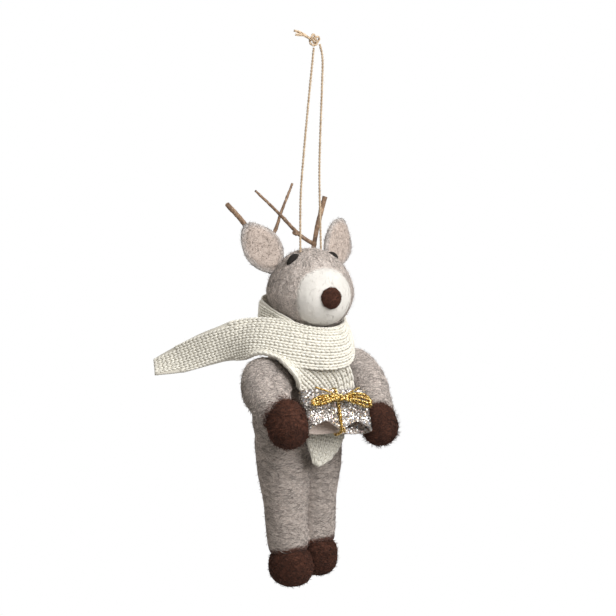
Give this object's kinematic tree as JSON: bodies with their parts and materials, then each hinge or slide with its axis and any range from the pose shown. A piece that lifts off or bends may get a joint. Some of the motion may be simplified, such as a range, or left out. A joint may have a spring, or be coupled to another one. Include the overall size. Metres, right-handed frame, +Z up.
{
  "type": "felt christmas ornament",
  "caption": "Needle-felted standing reindeer with twig antlers, a knitted scarf and a ribbon parcel in its arms, hung by a loop of twine.",
  "frame": {"origin": "the point inside the twine loop, just under its knot, that a hook or twig carries", "axes": "+Z up along the hanging loop, -Y the way the reindeer faces, +X to its left"},
  "size_m": [0.0774, 0.068, 0.2072],
  "materials": {
    "grey_wool": "matte needle-felted wool, taupe grey",
    "white_wool": "matte needle-felted wool, warm white",
    "brown_wool": "matte needle-felted wool, dark brown",
    "dark_wool": "tight felted wool, near black",
    "beige_wool": "matte needle-felted wool, pinkish beige",
    "twig_bark": "natural bark with pale cut ends",
    "cream_knit": "rib-knitted cream yarn",
    "glitter_ribbon": "stiff ribbon with silver and champagne glitter",
    "gold_cord": "metallic gold tinsel cord",
    "jute_twine": "two-ply jute",
    "steel_wire": "bare soft steel wire"
  },
  "bodies": {
    "hanger": {"hang_knot": "jute_twine", "hang_strand_right": "jute_twine", "hang_strand_left": "jute_twine", "knot_tail_right": "jute_twine", "knot_tail_left": "jute_twine"},
    "figure": {"head": "grey_wool", "torso": "grey_wool", "ear_right": "grey_wool", "ear_left": "grey_wool", "leg_right": "grey_wool", "leg_left": "grey_wool", "muzzle": "white_wool", "nose": "brown_wool", "foot_right": "brown_wool", "foot_left": "brown_wool", "eye_right": "dark_wool", "eye_left": "dark_wool", "ear_lining_right": "beige_wool", "ear_lining_left": "beige_wool", "antler_beam_right": "twig_bark", "antler_beam_left": "twig_bark", "antler_tine_right": "twig_bark", "antler_tine_left": "twig_bark", "scarf_front": "cream_knit", "scarf_collar": "cream_knit", "scarf_hanging_end": "cream_knit", "crown_stitch": "jute_twine", "leg_wire": "steel_wire", "neck_wire": "steel_wire"},
    "arms": {"arm_right": "grey_wool", "arm_left": "grey_wool", "hand_right": "brown_wool", "hand_left": "brown_wool", "arm_wire": "steel_wire", "parcel_ribbon": "glitter_ribbon", "parcel_tie": "gold_cord", "bow_knot": "gold_cord", "bow_loop_right": "gold_cord", "bow_loop_left": "gold_cord", "bow_tail_right": "gold_cord", "bow_tail_left": "gold_cord"},
    "scarf_end": {"scarf_flung_end": "cream_knit"}
  },
  "joints": [
    {"name": "loop_swing", "type": "hinge", "parent": "hanger", "child": "figure", "pos_m": [0, 0.0003, -0.0751], "axis": [1, 0, 0], "range_deg": [-60, 35]},
    {"name": "arms_lift", "type": "hinge", "parent": "figure", "child": "arms", "pos_m": [0, 0.0025, -0.1157], "axis": [-1, 0, 0], "range_deg": [-4, 18]},
    {"name": "scarf_end_bend", "type": "hinge", "parent": "figure", "child": "scarf_end", "pos_m": [-0.029, 0.0142, -0.1092], "axis": [0.7764, 0.6303, 0], "range_deg": [-30, 25]}
  ]
}
